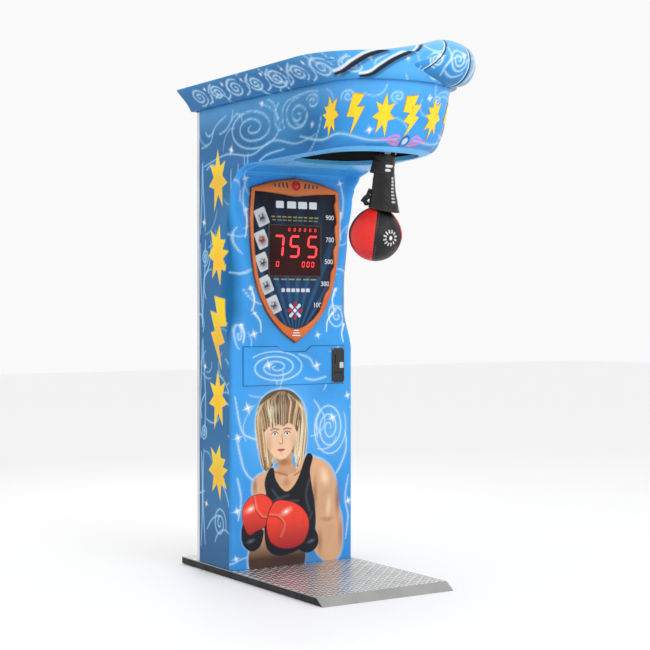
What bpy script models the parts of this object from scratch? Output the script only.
"""Boxing punch machine, modelled as an assembly of separate pieces.

Units are metres, +Z is up, the player stands at -Y and faces +Y.  The origin is on the floor
under the middle of the machine.
"""
import math

import bmesh
import bpy
from mathutils import Vector

for leftover in list(bpy.data.objects):
    bpy.data.objects.remove(leftover, do_unlink=True)

# ---------------------------------------------------------------- driving dimensions
GAP = 0.0003

PLATFORM_HALF_WIDTH = 0.310
PLATFORM_FRONT = -0.453
PLATFORM_BEND = -0.410
PLATFORM_REAR = 0.698
PLATFORM_TOP = 0.032
TREAD_THICKNESS = 0.003
PAD_HEIGHT = 0.0035

SHELL_THICKNESS = 0.006
SHELL_HALF_WIDTH = 0.305
SHELL_BOTTOM = PLATFORM_TOP + GAP
SHELL_REAR = 0.542
FRONT_FACE = 0.254
NECK_TOP = 1.7225
NECK_FRONT = 0.121
RIM_HEIGHT = 1.984

OPENING_CENTRE_Y = -0.215
OPENING_HALF_WIDTH = 0.205
OPENING_HALF_DEPTH = 0.262
OPENING_HEIGHT = 1.730

CANOPY_BOTTOM = RIM_HEIGHT + GAP
CANOPY_TOP = 2.083
CANOPY_THICKNESS = 0.009

LINER_BOTTOM = 1.7515
LINER_TOP = 1.945
LINER_THICKNESS = 0.003

PIVOT_Y = -0.427
PIVOT_Z = 1.780
BALL_DISTANCE = 0.366
BALL_RADIUS = 0.107
SWING_TILT = math.radians(11.5)

BEZEL_FRONT = 0.238
PANEL_THICKNESS = 0.004
BUTTON_HEIGHT = 1.6535
WINDOW_HALF_WIDTH = 0.128
WINDOW_BOTTOM = 1.271
WINDOW_TOP = 1.483

HATCH_THICKNESS = 0.004
COIN_PLATE_THICKNESS = 0.004
COIN_CENTRE_X = 0.220
COIN_HOLE_LEFT = 0.194
COIN_HOLE_RIGHT = 0.2475

BACK_FRONT = 0.550
BACK_REAR = 0.562
DOOR_HALF_WIDTH = 0.2195
DOOR_BOTTOM = 0.350
DOOR_TOP = 1.250
HINGE_X = -0.2245
HINGE_Y = 0.5655

LATCH_Y = -0.352
LATCH_Z = 1.862
CATCH_ANGLE = math.radians(5.0)
LATCH_RELEASE = math.radians(20.0)

# ---------------------------------------------------------------- collections and materials
machine = bpy.data.collections.new("boxing_punch_machine")
cutters = bpy.data.collections.new("cutters")
bpy.context.scene.collection.children.link(machine)
bpy.context.scene.collection.children.link(cutters)

FINISHES = {
    "blue_gelcoat": ((0.05, 0.30, 0.62), 0.0, 0.22),
    "black_paint": ((0.02, 0.02, 0.02), 0.0, 0.45),
    "tread_aluminium": ((0.62, 0.63, 0.64), 1.0, 0.35),
    "steel": ((0.45, 0.46, 0.48), 1.0, 0.40),
    "black_rubber": ((0.025, 0.025, 0.025), 0.0, 0.80),
    "grey_trim": ((0.55, 0.56, 0.58), 1.0, 0.40),
    "copper_bezel": ((0.62, 0.24, 0.08), 0.6, 0.32),
    "navy_panel": ((0.01, 0.02, 0.06), 0.0, 0.15),
    "red_window": ((0.10, 0.004, 0.004), 0.0, 0.10),
    "red_led": ((0.90, 0.03, 0.02), 0.0, 0.30),
    "circuit_green": ((0.02, 0.16, 0.06), 0.0, 0.50),
    "red_plastic": ((0.72, 0.02, 0.02), 0.0, 0.25),
    "white_plastic": ((0.82, 0.82, 0.80), 0.0, 0.35),
    "black_plastic": ((0.03, 0.03, 0.035), 0.0, 0.40),
    "red_leather": ((0.70, 0.02, 0.015), 0.0, 0.30),
    "black_leather": ((0.02, 0.02, 0.02), 0.0, 0.42),
    "brass": ((0.70, 0.50, 0.20), 1.0, 0.30),
}


def finish_named(name):
    """A Principled material of its own for one piece, in one of the named finishes."""
    colour, metallic, roughness = FINISHES[name]
    material = bpy.data.materials.new(name)
    material.use_nodes = True
    shader = material.node_tree.nodes["Principled BSDF"]
    shader.inputs["Base Color"].default_value = (*colour, 1.0)
    shader.inputs["Metallic"].default_value = metallic
    shader.inputs["Roughness"].default_value = roughness
    material.diffuse_color = (*colour, 1.0)
    return material


# ---------------------------------------------------------------- builders
def keep(piece, name, finish=None):
    """Names a piece, puts it in the machine's collection and gives it its finish."""
    piece.name = name
    for owner in list(piece.users_collection):
        owner.objects.unlink(piece)
    if finish is None:
        cutters.objects.link(piece)
        piece.hide_render = True
        piece.display_type = "WIRE"
    else:
        machine.objects.link(piece)
        piece.data.materials.clear()
        piece.data.materials.append(finish_named(finish))
    return piece


def apply_scale(piece):
    """Writes the object's scale into its mesh."""
    size = piece.scale.copy()
    for vertex in piece.data.vertices:
        vertex.co = Vector(a * b for a, b in zip(vertex.co, size))
    piece.scale = (1.0, 1.0, 1.0)


def soften(piece, width, segments=1):
    """Rounds the hard edges of a piece."""
    bevel = piece.modifiers.new("soft_edges", "BEVEL")
    bevel.width = width
    bevel.segments = segments
    bevel.limit_method = "ANGLE"
    bevel.angle_limit = math.radians(40.0)


def thicken(piece, thickness, even=True):
    """Gives a sheet its wall, built to the inside of its faces."""
    wall = piece.modifiers.new("wall", "SOLIDIFY")
    wall.thickness = thickness
    wall.offset = -1.0
    wall.use_even_offset = even


def combine(piece, tool, operation):
    """Cuts a tool out of a piece, or joins the tool to it."""
    joint = piece.modifiers.new(operation.lower(), "BOOLEAN")
    joint.operation = operation
    joint.solver = "EXACT"
    joint.object = tool


def box(name, low, high, finish, edge=0.0, origin=None):
    """A block between two corners, with its origin at its middle or at a given point."""
    middle = Vector((a + b) / 2.0 for a, b in zip(low, high))
    bpy.ops.mesh.primitive_cube_add(size=1.0, location=middle)
    piece = bpy.context.object
    piece.scale = Vector(b - a for a, b in zip(low, high))
    apply_scale(piece)
    if origin is not None:
        shift = middle - Vector(origin)
        for vertex in piece.data.vertices:
            vertex.co += shift
        piece.location = origin
    keep(piece, name, finish)
    if edge:
        soften(piece, edge)
    return piece


def tray(name, low, high, thickness, finish, open_front=False):
    """A thin box that is open at the top, and at the front too where asked."""
    piece = box(name, low, high, finish)
    body = bmesh.new()
    body.from_mesh(piece.data)
    lids = [face for face in body.faces
            if face.normal.z > 0.9 or (open_front and face.normal.y < -0.9)]
    bmesh.ops.delete(body, geom=lids, context="FACES_ONLY")
    body.to_mesh(piece.data)
    body.free()
    thicken(piece, thickness)
    return piece


def rod(name, start, end, radius, finish, sides=20, edge=0.0):
    """A round bar between two points, with its origin at the first point."""
    along = Vector(end) - Vector(start)
    bpy.ops.mesh.primitive_cylinder_add(vertices=sides, radius=radius, depth=along.length)
    piece = bpy.context.object
    for vertex in piece.data.vertices:
        vertex.co.z += along.length / 2.0
    piece.rotation_euler = along.to_track_quat("Z", "Y").to_euler()
    piece.location = start
    for face in piece.data.polygons:
        face.use_smooth = len(face.vertices) == 4
    keep(piece, name, finish)
    if edge:
        soften(piece, edge)
    return piece


def circle(centre, radius, points=20):
    """The points of a circle."""
    turn = 2.0 * math.pi / points
    return [(centre[0] + radius * math.cos(turn * i), centre[1] + radius * math.sin(turn * i))
            for i in range(points)]


def rectangle(left, right, bottom, top):
    """The four corners of a rectangle."""
    return [(left, bottom), (right, bottom), (right, top), (left, top)]


def flat_plate(name, outlines, thickness, finish, location, rotation):
    """A flat plate with holes: the first outline is its edge, the others are holes."""
    data = bpy.data.curves.new(name, "CURVE")
    data.dimensions = "2D"
    data.fill_mode = "BOTH"
    data.extrude = thickness / 2.0
    for outline in outlines:
        line = data.splines.new("POLY")
        line.points.add(len(outline) - 1)
        for point, (across, up) in zip(line.points, outline):
            point.co = (across, up, 0.0, 1.0)
        line.use_cyclic_u = True
    piece = bpy.data.objects.new(name, data)
    bpy.context.scene.collection.objects.link(piece)
    piece.location = location
    piece.rotation_euler = rotation
    return keep(piece, name, finish)


def front_plate(name, outlines, near, far, finish, origin=(0.0, 0.0)):
    """A plate that faces the player, given by x and z outlines and its two y faces."""
    moved = [[(x - origin[0], z - origin[1]) for x, z in outline] for outline in outlines]
    place = (origin[0], (near + far) / 2.0, origin[1])
    return flat_plate(name, moved, far - near, finish, place, (math.pi / 2.0, 0.0, 0.0))


def side_plate(name, outlines, left, right, finish, origin=(0.0, 0.0), tilt=0.0):
    """A plate that faces sideways, given by y and z outlines about an origin and its x faces."""
    moved = [[(y - origin[0], z - origin[1]) for y, z in outline] for outline in outlines]
    cosine = math.cos(tilt)
    sine = math.sin(tilt)
    turned = [[(y * cosine - z * sine, y * sine + z * cosine) for y, z in outline]
              for outline in moved]
    place = ((left + right) / 2.0, origin[0], origin[1])
    facing = (math.pi / 2.0, 0.0, math.pi / 2.0)
    return flat_plate(name, turned, right - left, finish, place, facing)


def turned(name, profile, finish, location=(0.0, 0.0, 0.0), rotation=(0.0, 0.0, 0.0), steps=28):
    """A round piece turned from a radius and height profile that runs top to bottom."""
    data = bpy.data.meshes.new(name)
    points = [(radius, 0.0, height) for radius, height in profile]
    lines = [(i, i + 1) for i in range(len(points) - 1)]
    if profile[0][0] > 0.0:
        lines.append((len(points) - 1, 0))
    data.from_pydata(points, lines, [])
    piece = bpy.data.objects.new(name, data)
    bpy.context.scene.collection.objects.link(piece)
    piece.location = location
    piece.rotation_euler = rotation
    spin = piece.modifiers.new("spin", "SCREW")
    spin.steps = steps
    spin.render_steps = steps
    spin.use_merge_vertices = True
    spin.merge_threshold = 0.00005
    spin.use_smooth_shade = True
    spin.use_normal_calculate = profile[0][0] == 0.0
    return keep(piece, name, finish)


def smooth_path(points, steps):
    """A smooth open path through the given points."""
    ends = [points[0], *points, points[-1]]
    path = []
    for i in range(len(points) - 1):
        before, start, end, after = (Vector(point) for point in ends[i:i + 4])
        for step in range(steps):
            t = step / steps
            linear = (end - before) * t
            square = (2.0 * before - 5.0 * start + 4.0 * end - after) * t ** 2
            cubic = (3.0 * start - before - 3.0 * end + after) * t ** 3
            path.append(0.5 * (2.0 * start + linear + square + cubic))
    path.append(Vector(points[-1]))
    return path


def mirrored(half):
    """A left to right list from its right half, which starts on the middle plane."""
    left = [Vector((-point[0], *point[1:])) for point in reversed(half[1:])]
    return left + [Vector(point) for point in half]


def value_at(stations, height):
    """Reads a smooth step curve given as pairs of height and value."""
    if height <= stations[0][0]:
        return stations[0][1]
    for (low, first), (high, second) in zip(stations, stations[1:]):
        if height <= high:
            t = (height - low) / (high - low)
            return first + (second - first) * t * t * (3.0 - 2.0 * t)
    return stations[-1][1]


def strip_faces(body, first, second, closed=False):
    """Joins two rows of vertices with four-sided faces."""
    count = len(first) if closed else len(first) - 1
    for i in range(count):
        j = (i + 1) % len(first)
        body.faces.new((first[i], first[j], second[j], second[i]))


def sheet_object(name, body, finish, inside):
    """Turns a built sheet into an object whose faces look away from a point inside it."""
    bmesh.ops.remove_doubles(body, verts=body.verts, dist=0.00005)
    bmesh.ops.recalc_face_normals(body, faces=body.faces)
    middle = Vector(inside)
    near = min(body.faces, key=lambda face: (face.calc_center_median() - middle).length)
    if near.normal.dot(near.calc_center_median() - middle) < 0.0:
        bmesh.ops.reverse_faces(body, faces=body.faces)
    for face in body.faces:
        face.smooth = True
    data = bpy.data.meshes.new(name)
    body.to_mesh(data)
    body.free()
    piece = bpy.data.objects.new(name, data)
    bpy.context.scene.collection.objects.link(piece)
    return keep(piece, name, finish)


# ---------------------------------------------------------------- body shell
WAIST_INSET = [(0.95, 0.018), (1.13, 0.100), (1.23, 0.100), (1.44, 0.060), (1.56, 0.018)]
BROW_FRONT = [(1.53, 0.256), (1.60, 0.247), (1.6475, 0.229), (1.695, 0.189), (NECK_TOP, NECK_FRONT)]
FACE_FRONT = [(1.69, FRONT_FACE), (1.705, 0.243), (1.715, 0.200), (NECK_TOP, NECK_FRONT)]
SHELL_HEIGHTS = (
    [SHELL_BOTTOM, 0.25, 0.50, 0.75, 0.92]
    + [0.965 + 0.033 * i for i in range(18)]
    + [1.555, 1.585, 1.615, 1.6475, 1.672, 1.690, 1.700, 1.708, 1.7155, NECK_TOP]
)
HEAD_LOWER = [(0.0, -0.511, 1.748), (0.10, -0.498, 1.747), (0.18, -0.462, 1.745),
              (0.222, -0.410, 1.742), (0.240, -0.330, 1.739), (0.268, -0.110, 1.732),
              (0.297, 0.050, 1.7245)]
HEAD_RIM = [(0.0, -0.626), (0.107, -0.609), (0.200, -0.565), (0.246, -0.500), (0.270, -0.376),
            (0.2885, -0.150), (0.300, 0.050)]
HEAD_PROFILE = [(0.0, 0.0), (0.22, 0.035), (0.448, 0.14), (0.66, 0.36), (0.836, 0.665),
                (1.0, 0.97), (1.0, 1.0)]


def half_section(height):
    """The right half of a level section of the cabinet, from its front to its rear."""
    inset = value_at(WAIST_INSET, height)
    corner_x = SHELL_HALF_WIDTH - inset
    brow = value_at(BROW_FRONT, height)
    face = value_at(FACE_FRONT, height)
    flat = corner_x - 0.035
    depth = 0.014 + 0.9 * inset
    points = [(0.0, face), (flat * 0.5, face), (flat, face)]
    for t in (1.0 / 3.0, 2.0 / 3.0, 1.0):
        ease = t * t * (3.0 - 2.0 * t)
        points.append((flat + (corner_x - flat) * t, face + (brow - face) * ease))
    for degrees in (22.5, 45.0, 67.5, 90.0):
        angle = math.radians(degrees)
        points.append((corner_x + inset * math.sin(angle), brow + depth * (1.0 - math.cos(angle))))
    points.append((SHELL_HALF_WIDTH, 0.36))
    points.append((SHELL_HALF_WIDTH, SHELL_REAR))
    return [(x, y, height) for x, y in points]


SIDE_POINTS = 3


def opening_point(point, raise_by=0.0):
    """The edge of the opening under the head, seen from its middle towards a given point."""
    across = point[0]
    along = point[1] - OPENING_CENTRE_Y
    reach = (abs(across / OPENING_HALF_WIDTH) ** 3 + abs(along / OPENING_HALF_DEPTH) ** 3) ** (1 / 3)
    return Vector((across / reach, OPENING_CENTRE_Y + along / reach, OPENING_HEIGHT + raise_by))


def build_body_shell():
    """The one-piece moulding: cabinet sides and front, neck, and the bowl of the head."""
    body = bmesh.new()
    rows = []
    for height in SHELL_HEIGHTS:
        rows.append([body.verts.new(point) for point in mirrored(half_section(height))])
    for lower, upper in zip(rows, rows[1:]):
        strip_faces(body, lower, upper)

    top = rows[-1]
    side = [vertex.co.copy() for vertex in top[-SIDE_POINTS:]]
    lower_half = smooth_path(HEAD_LOWER + [tuple(side[0])], 3)
    lower_half += side[1:]
    rim_seed = [(x, y, RIM_HEIGHT) for x, y in HEAD_RIM]
    rim_half = smooth_path(rim_seed + [(SHELL_HALF_WIDTH, side[0].y, RIM_HEIGHT)], 3)
    rim_half += [Vector((point.x, point.y, RIM_HEIGHT)) for point in side[1:]]
    lower_line = mirrored(lower_half)
    rim_line = mirrored(rim_half)
    head_rows = []
    for outward, upward in HEAD_PROFILE:
        row = []
        for low, high in zip(lower_line, rim_line):
            x = low.x + (high.x - low.x) * outward
            y = low.y + (high.y - low.y) * outward
            z = low.z + (high.z - low.z) * upward
            row.append(body.verts.new((x, y, z)))
        head_rows.append(row)
    for lower, upper in zip(head_rows, head_rows[1:]):
        strip_faces(body, lower, upper)

    forward = head_rows[0][SIDE_POINTS - 1:len(lower_line) - SIDE_POINTS + 1]
    rear = list(reversed(top[SIDE_POINTS:len(top) - SIDE_POINTS]))
    ring = forward + rear
    edge = [opening_point(vertex.co) for vertex in ring]
    middle = [body.verts.new((vertex.co + point) / 2.0 - Vector((0.0, 0.0, 0.003)))
              for vertex, point in zip(ring, edge)]
    inner = [body.verts.new(point) for point in edge]
    lip = [body.verts.new(point + Vector((0.0, 0.0, 0.018))) for point in edge]
    strip_faces(body, ring, middle, closed=True)
    strip_faces(body, middle, inner, closed=True)
    strip_faces(body, inner, lip, closed=True)

    piece = sheet_object("body_shell", body, "blue_gelcoat", (0.0, FRONT_FACE + 0.1, 0.5))
    thicken(piece, SHELL_THICKNESS, even=False)
    return piece


body_shell = build_body_shell()

# ---------------------------------------------------------------- canopy with its rolled crest
CANOPY_LOWER = [(0.0, -0.647), (0.110, -0.630), (0.212, -0.586), (0.264, -0.520), (0.291, -0.390),
                (0.309, -0.150), (0.321, 0.050), (0.326, 0.300), (0.326, 0.581)]
CREST_PATH = [(-0.335, -0.420, 2.063, 0.008), (-0.290, -0.520, 2.062, 0.016),
              (-0.150, -0.610, 2.062, 0.030), (0.0, -0.628, 2.066, 0.056),
              (0.130, -0.6135, 2.070, 0.0855), (0.238, -0.588, 2.064, 0.076),
              (0.275, -0.588, 2.068, 0.048), (0.320, -0.592, 2.080, 0.006)]
CREST_SIDES = 18


def canopy_upper_half():
    """The right half of the canopy's top outline: a half ellipse and a straight side."""
    points = []
    for i in range(6):
        angle = math.pi / 2.0 * (1.0 - i / 6.0)
        points.append((0.371 * math.cos(angle), -0.353 - 0.341 * math.sin(angle)))
    return points + [(0.371, -0.353), (0.371, 0.200), (0.371, 0.6265)]


def build_canopy():
    """The canopy slab, hollow underneath, with the crest rolled along its front."""
    body = bmesh.new()
    lower = mirrored(smooth_path([(x, y, CANOPY_BOTTOM) for x, y in CANOPY_LOWER], 2))
    upper = mirrored(smooth_path([(x, y, CANOPY_TOP) for x, y in canopy_upper_half()], 2))
    rows = [[body.verts.new(point) for point in line] for line in (lower, upper)]
    strip_faces(body, rows[0], rows[1], closed=True)
    body.faces.new(rows[0])
    body.faces.new(rows[1])
    piece = sheet_object("canopy", body, "blue_gelcoat", (0.0, 0.0, 2.03))
    for face in piece.data.polygons:
        face.use_smooth = len(face.vertices) == 4

    roll = bmesh.new()
    stations = smooth_path(CREST_PATH, 3)
    rings = []
    for i, station in enumerate(stations):
        before = stations[max(i - 1, 0)].to_3d()
        after = stations[min(i + 1, len(stations) - 1)].to_3d()
        along = (after - before).normalized()
        across = along.cross(Vector((0.0, 0.0, 1.0))).normalized()
        over = across.cross(along)
        ring = []
        for side in range(CREST_SIDES):
            angle = 2.0 * math.pi * side / CREST_SIDES
            offset = across * math.cos(angle) + over * math.sin(angle)
            ring.append(roll.verts.new(station.to_3d() + offset * station[3]))
        rings.append(ring)
    for first, second in zip(rings, rings[1:]):
        strip_faces(roll, first, second, closed=True)
    roll.faces.new(rings[0])
    roll.faces.new(rings[-1])
    crest = sheet_object("crest_roll", roll, None, (0.1, -0.61, 2.07))
    combine(piece, crest, "UNION")
    hollow = box("canopy_hollow", (-0.262, -0.430, 1.960), (0.262, 0.555, CANOPY_TOP - CANOPY_THICKNESS),
                 None)
    combine(piece, hollow, "DIFFERENCE")
    return piece


canopy = build_canopy()

# ---------------------------------------------------------------- base
tread_outline = [
    (PLATFORM_FRONT, 0.0), (PLATFORM_BEND, PLATFORM_TOP), (PLATFORM_REAR, PLATFORM_TOP),
    (PLATFORM_REAR, PLATFORM_TOP - TREAD_THICKNESS),
    (PLATFORM_BEND + 0.0015, PLATFORM_TOP - TREAD_THICKNESS), (PLATFORM_FRONT + 0.004, 0.0),
]
side_plate("tread_plate", [tread_outline], -PLATFORM_HALF_WIDTH, PLATFORM_HALF_WIDTH,
           "tread_aluminium")
board_top = PLATFORM_TOP - TREAD_THICKNESS - GAP
board_outline = [
    (PLATFORM_BEND + 0.002, board_top), (PLATFORM_REAR, board_top), (PLATFORM_REAR, PAD_HEIGHT),
    (PLATFORM_FRONT + 0.012, PAD_HEIGHT),
]
side_plate("base_board", [board_outline], -PLATFORM_HALF_WIDTH, PLATFORM_HALF_WIDTH, "black_paint")
for row, pad_y in (("front", -0.38), ("rear", 0.64)):
    for hand, pad_x in (("left", -0.26), ("right", 0.26)):
        rod(f"rubber_pad_{row}_{hand}", (pad_x, pad_y, 0.0), (pad_x, pad_y, PAD_HEIGHT - GAP),
            0.025, "black_rubber", sides=16)

# ---------------------------------------------------------------- steel frame inside
for hand, inner_x, outer_x in (("left", -0.140, -0.110), ("right", 0.110, 0.140)):
    frame_outline = [(0.480, SHELL_BOTTOM), (0.480, 1.982), (-0.440, 1.982), (-0.440, 1.954),
                     (0.440, 1.954), (0.440, SHELL_BOTTOM)]
    side_plate(f"steel_frame_{hand}", [frame_outline], inner_x, outer_x, "steel")
box("frame_tie", (-0.110 + GAP, 0.445, 1.230), (0.110 - GAP, 0.475, 1.260), "steel", 0.002)

# ---------------------------------------------------------------- cabinet back
for hand, edge_x, inner_x in (("left", -0.305, -0.285), ("right", 0.305, 0.285)):
    low = (min(edge_x, inner_x), SHELL_REAR + GAP, SHELL_BOTTOM)
    high = (max(edge_x, inner_x), 0.565, RIM_HEIGHT - GAP)
    box(f"rear_trim_{hand}", low, high, "grey_trim", 0.002)
vent_slots = [rectangle(-0.09, 0.09, 1.46 + 0.025 * i, 1.472 + 0.025 * i) for i in range(6)]
back_edge = rectangle(-0.285 + GAP, 0.285 - GAP, SHELL_BOTTOM, RIM_HEIGHT - GAP)
door_hole = rectangle(-DOOR_HALF_WIDTH - 0.0005, DOOR_HALF_WIDTH + 0.0005, DOOR_BOTTOM - 0.0005,
                      DOOR_TOP + 0.0005)
inlet_hole = rectangle(-0.2203, -0.1697, 0.0997, 0.1453)
front_plate("back_panel", [back_edge, door_hole, inlet_hole, *vent_slots], BACK_FRONT, BACK_REAR,
            "black_paint")
lock_x = 0.195
lock_z = 0.80
door_edge = rectangle(-DOOR_HALF_WIDTH, DOOR_HALF_WIDTH, DOOR_BOTTOM, DOOR_TOP)
front_plate("rear_door", [door_edge, circle((lock_x, lock_z), 0.0095)], BACK_FRONT, BACK_REAR,
            "black_paint")
rod("door_hinge_pin", (HINGE_X, HINGE_Y, DOOR_BOTTOM + 0.02), (HINGE_X, HINGE_Y, DOOR_TOP - 0.02),
    0.003, "steel", sides=12)
rod("lock_cylinder", (lock_x, 0.5665, lock_z), (lock_x, 0.5455, lock_z), 0.009, "brass", sides=20)
box("lock_cam", (lock_x - 0.008, 0.5420, lock_z - 0.045), (lock_x + 0.008, 0.5452, lock_z + 0.008),
    "steel", 0.001, origin=(lock_x, 0.5436, lock_z))

# ---------------------------------------------------------------- display
SHIELD_OUTER = [(0.0, 1.688), (0.120, 1.669), (0.219, 1.639), (0.2255, 1.540), (0.2235, 1.437),
                (0.214, 1.335), (0.197, 1.244), (0.170, 1.168), (0.128, 1.094), (0.064, 1.027),
                (0.0, 0.982)]
SHIELD_INNER = [(0.0, 1.607), (0.100, 1.618), (0.200, 1.624), (0.2075, 1.540), (0.206, 1.437),
                (0.197, 1.335), (0.180, 1.250), (0.152, 1.180), (0.112, 1.110), (0.056, 1.062),
                (0.0, 1.043)]


def shield_outline(blend):
    """A shield outline between the inner (0) and outer (1) edge of the bezel."""
    half = [(a[0] + (b[0] - a[0]) * blend, a[1] + (b[1] - a[1]) * blend)
            for a, b in zip(SHIELD_INNER, SHIELD_OUTER)]
    top = smooth_path([(x, z, 0.0) for x, z in half[:3]], 3)
    side = smooth_path([(x, z, 0.0) for x, z in half[2:]], 2)
    right = top[:-1] + side
    left = [Vector((-point.x, point.y, 0.0)) for point in reversed(right[1:-1])]
    return [(point.x, point.y) for point in right + left]


bezel_back = FRONT_FACE - GAP
bezel_outlines = [shield_outline(1.0), shield_outline(0.0), circle((0.0, BUTTON_HEIGHT), 0.0143)]
front_plate("shield_bezel", bezel_outlines, BEZEL_FRONT, bezel_back, "copper_bezel")
display_cutter = front_plate("display_cutter", [shield_outline(0.50)], 0.240, 0.280, None)


def as_mesh(piece):
    """Replaces a curve piece by the mesh that it makes."""
    graph = bpy.context.evaluated_depsgraph_get()
    data = bpy.data.meshes.new_from_object(piece.evaluated_get(graph))
    body = bmesh.new()
    body.from_mesh(data)
    bmesh.ops.remove_doubles(body, verts=body.verts, dist=0.00005)
    bmesh.ops.recalc_face_normals(body, faces=body.faces)
    body.to_mesh(data)
    body.free()
    name = piece.name
    place = piece.matrix_world.copy()
    bpy.data.objects.remove(piece, do_unlink=True)
    solid = bpy.data.objects.new(name, data)
    solid.matrix_world = place
    bpy.context.scene.collection.objects.link(solid)
    return keep(solid, name)


combine(body_shell, as_mesh(display_cutter), "DIFFERENCE")
window_hole = rectangle(-WINDOW_HALF_WIDTH - GAP, WINDOW_HALF_WIDTH + GAP, WINDOW_BOTTOM - GAP,
                        WINDOW_TOP + GAP)
panel_front = FRONT_FACE + GAP
panel_back = panel_front + PANEL_THICKNESS
front_plate("display_panel", [shield_outline(0.45), window_hole], panel_front, panel_back,
            "navy_panel")
box("led_window", (-WINDOW_HALF_WIDTH, panel_front - 0.001, WINDOW_BOTTOM),
    (WINDOW_HALF_WIDTH, panel_back - 0.001, WINDOW_TOP), "red_window")
for place, digit_x in (("hundreds", -0.084), ("tens", -0.003), ("units", 0.085)):
    box(f"led_digit_{place}", (digit_x - 0.034, panel_back, 1.335),
        (digit_x + 0.034, panel_back + 0.010, 1.452), "red_led")
box("display_board", (-WINDOW_HALF_WIDTH, panel_back + 0.0103, WINDOW_BOTTOM),
    (WINDOW_HALF_WIDTH, panel_back + 0.0123, WINDOW_TOP), "circuit_green")
front_plate("button_ring", [circle((0.0, BUTTON_HEIGHT), 0.0205), circle((0.0, BUTTON_HEIGHT), 0.0143)],
            BEZEL_FRONT - 0.0035, BEZEL_FRONT - GAP, "copper_bezel")
rod("start_button", (0.0, 0.2325, BUTTON_HEIGHT), (0.0, 0.2480, BUTTON_HEIGHT), 0.0138,
    "red_plastic", sides=24, edge=0.0015)

# ---------------------------------------------------------------- coin hatch
hatch_back = FRONT_FACE - GAP
hatch_front = hatch_back - HATCH_THICKNESS
plate_back = hatch_front - GAP
plate_front = plate_back - COIN_PLATE_THICKNESS
hatch_edge = [(-0.2545, 0.802), (0.2545, 0.802), (0.2545, 0.970), (0.085, 0.970), (0.055, 0.946),
              (-0.055, 0.946), (-0.085, 0.970), (-0.2545, 0.970)]
coin_hole = rectangle(COIN_HOLE_LEFT, COIN_HOLE_RIGHT, 0.814, 0.952)
front_plate("hatch_panel", [hatch_edge, coin_hole], hatch_front, hatch_back, "blue_gelcoat")
coin_cutter = box("coin_cutter", (COIN_HOLE_LEFT, 0.240, 0.814), (COIN_HOLE_RIGHT, 0.280, 0.952), None)
combine(body_shell, coin_cutter, "DIFFERENCE")
coin_slot = rectangle(0.2035, 0.2075, 0.890, 0.928)
reject_hole = rectangle(0.2257, 0.2463, 0.8707, 0.8963)
return_hole = rectangle(0.2000, 0.2400, 0.8180, 0.8540)
front_plate("coin_plate", [rectangle(0.189, 0.251, 0.808, 0.957), coin_slot, reject_hole, return_hole],
            plate_front, plate_back, "black_plastic")
box("reject_button", (0.2260, plate_front - 0.0035, 0.8710), (0.2460, plate_back + 0.0005, 0.8960),
    "white_plastic", 0.001)
box("return_flap", (0.2004, plate_front + 0.0005, 0.8184), (0.2396, plate_front + 0.0025, 0.8516),
    "brass", 0.0005, origin=(COIN_CENTRE_X, plate_front + 0.0015, 0.8516))
box("coin_mechanism", (0.198, plate_back + 0.0060, 0.862), (0.244, 0.330, 0.950), "black_plastic", 0.001)
tray("coin_return_cup", (0.1975, plate_back + 0.0010, 0.8145), (0.2445, 0.275, 0.8580), 0.0015,
     "steel", open_front=True)
tray("cash_box", (0.145, 0.290, SHELL_BOTTOM), (0.275, 0.435, 0.150), 0.002, "steel")
box("coin_chute", (0.205, 0.290, 0.160), (0.235, 0.320, 0.8615), "steel", 0.001)

# ---------------------------------------------------------------- swing gear
opening_loop = []
for step in range(28):
    angle = 2.0 * math.pi * (step + 0.5) / 28
    seed = (math.cos(angle), OPENING_CENTRE_Y + math.sin(angle))
    opening_loop.append(opening_point(seed))


def build_liner():
    """The dark box that takes the ball: round walls and a roof, open below."""
    body = bmesh.new()
    middle = Vector((0.0, OPENING_CENTRE_Y, 0.0))
    rows = []
    for height in (LINER_BOTTOM, LINER_TOP):
        row = []
        for point in opening_loop:
            wide = middle + (Vector((point.x, point.y, 0.0)) - middle) * 1.04
            row.append(body.verts.new((wide.x, wide.y, height)))
        rows.append(row)
    strip_faces(body, rows[0], rows[1], closed=True)
    body.faces.new(rows[1])
    piece = sheet_object("cavity_liner", body, "black_paint", (0.0, OPENING_CENTRE_Y, 1.85))
    for face in piece.data.polygons:
        face.use_smooth = len(face.vertices) == 4
    thicken(piece, LINER_THICKNESS)
    return piece


build_liner()
roof = LINER_TOP - LINER_THICKNESS - GAP
pivot = (PIVOT_Y, PIVOT_Z)
bracket_edge = [(-0.462, roof), (-0.457, 1.772), (-0.442, 1.750), (-0.412, 1.750), (-0.397, 1.772),
                (-0.340, roof)]
for hand, centre_x in (("left", -0.060), ("right", 0.060)):
    low_x = centre_x - 0.003
    high_x = centre_x + 0.003
    side_plate(f"pivot_bracket_{hand}", [bracket_edge, circle(pivot, 0.0163)], low_x, high_x, "steel")
    side_plate(f"pivot_bearing_{hand}", [circle(pivot, 0.0160), circle(pivot, 0.0084)], low_x, high_x,
               "steel", origin=pivot)
rod("pivot_axle", (-0.072, *pivot), (0.086, *pivot), 0.0080, "steel", sides=16)
arm_edge = [(PIVOT_Y - 0.016, PIVOT_Z - 0.253)]
arm_edge += [(PIVOT_Y + 0.016, PIVOT_Z - 0.253)]
for degrees in range(-30, 211, 20):
    angle = math.radians(degrees)
    arm_edge.append((PIVOT_Y + 0.022 * math.cos(angle), PIVOT_Z + 0.022 * math.sin(angle)))
side_plate("swing_arm", [arm_edge, circle(pivot, 0.0083)], -0.014, 0.014, "steel", origin=pivot,
           tilt=SWING_TILT)
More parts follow.
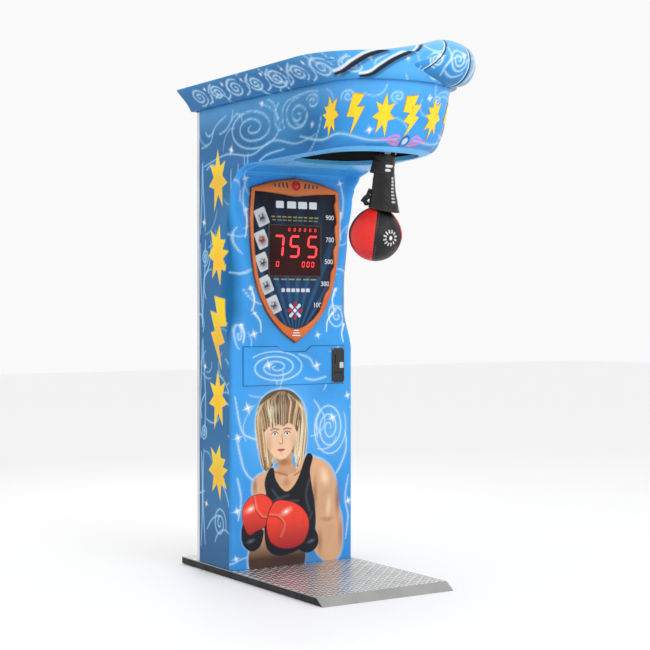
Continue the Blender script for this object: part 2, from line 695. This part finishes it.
side_plate("sensor_disc", [circle(pivot, 0.028, 24), circle(pivot, 0.0083)], 0.078, 0.0795,
           "black_plastic", origin=pivot)
sensor_edge = [(0.0633, 1.840), (0.0880, 1.840), (0.0880, 1.800), (0.0830, 1.800), (0.0830, 1.825),
               (0.0745, 1.825), (0.0745, 1.800), (0.0633, 1.800)]
front_plate("speed_sensor", [sensor_edge], PIVOT_Y - 0.008, PIVOT_Y + 0.008, "black_plastic")

joint_point = (0.0, PIVOT_Y, PIVOT_Z)
arm_turn = (SWING_TILT, 0.0, 0.0)
ball_profile = []
for step in range(15):
    angle = math.pi * step / 14
    narrow = 1.0 - 0.10 * max(math.cos(angle), 0.0)
    ball_profile.append((BALL_RADIUS * math.sin(angle) * narrow,
                         -BALL_DISTANCE + BALL_RADIUS * math.cos(angle)))
ball_profile[0] = (0.0, ball_profile[0][1])
ball_profile[-1] = (0.0, ball_profile[-1][1])
turned("punch_ball", ball_profile, "red_leather", joint_point, arm_turn, 32)
sleeve_profile = [(0.031, -0.052), (0.037, -0.110), (0.044, -0.190), (0.055, -0.268),
                  (0.052, -0.268), (0.041, -0.190), (0.034, -0.110), (0.028, -0.052)]
turned("leather_sleeve", sleeve_profile, "black_leather", joint_point, arm_turn, 28)
rod("rest_stop", (0.0, -0.4795, 1.7590), (0.0, -0.4436, 1.7590), 0.006, "black_rubber", sides=16)
rod("upper_stop", (0.0, -0.392, roof), (0.0, -0.392, 1.8042), 0.007, "black_rubber", sides=16)
catch_edge = [(PIVOT_Y - 0.005, PIVOT_Z - 0.050), (PIVOT_Y + 0.005, PIVOT_Z - 0.050)]
for degrees in range(-60, 241, 30):
    angle = math.radians(degrees)
    catch_edge.append((PIVOT_Y + 0.014 * math.cos(angle), PIVOT_Z + 0.014 * math.sin(angle)))
side_plate("latch_catch", [catch_edge, circle(pivot, 0.0083)], 0.042, 0.048, "steel", origin=pivot,
           tilt=CATCH_ANGLE)
latch = (LATCH_Y, LATCH_Z)
latch_edge = [(LATCH_Y - 0.008, LATCH_Z + 0.030), (LATCH_Y - 0.008, LATCH_Z - 0.0885),
              (LATCH_Y - 0.036, LATCH_Z - 0.0885), (LATCH_Y - 0.036, LATCH_Z - 0.100),
              (LATCH_Y + 0.008, LATCH_Z - 0.100), (LATCH_Y + 0.008, LATCH_Z + 0.030)]
side_plate("latch_lever", [latch_edge, circle(latch, 0.0043, 16)], 0.042, 0.048, "steel",
           origin=latch, tilt=LATCH_RELEASE)
rod("latch_shaft", (0.0405, *latch), (0.0556, *latch), 0.0040, "steel", sides=12)
hanger_edge = [(LATCH_Y - 0.012, roof), (LATCH_Y - 0.012, LATCH_Z - 0.012),
               (LATCH_Y + 0.012, LATCH_Z - 0.012), (LATCH_Y + 0.012, roof)]
side_plate("latch_hanger", [hanger_edge, circle(latch, 0.0043, 16)], 0.0505, 0.0545, "steel")
rod("solenoid_plunger", (0.045, -0.350, 1.884), (0.045, -0.3010, 1.884), 0.004, "steel", sides=12)
rod("solenoid_body", (0.045, -0.292, 1.884), (0.045, -0.242, 1.884), 0.014, "copper_bezel", sides=20)

# ---------------------------------------------------------------- electrical parts
box("power_supply", (-0.270, 0.300, SHELL_BOTTOM), (-0.160, 0.430, 0.110), "steel", 0.002)
box("control_board", (-0.095, 0.4300, 1.300), (0.095, 0.4396, 1.580), "circuit_green")
box("speaker", (-0.080, 0.500, 1.455), (0.080, BACK_FRONT - GAP, 1.605), "black_plastic", 0.003)
box("mains_inlet", (-0.2200, 0.520, 0.1000), (-0.1700, 0.566, 0.1450), "black_plastic")
box("rocker_switch", (-0.2120, 0.5695, 0.1100), (-0.1980, 0.5735, 0.1350), "red_plastic", 0.0008,
    origin=(-0.2050, 0.5735, 0.1225))
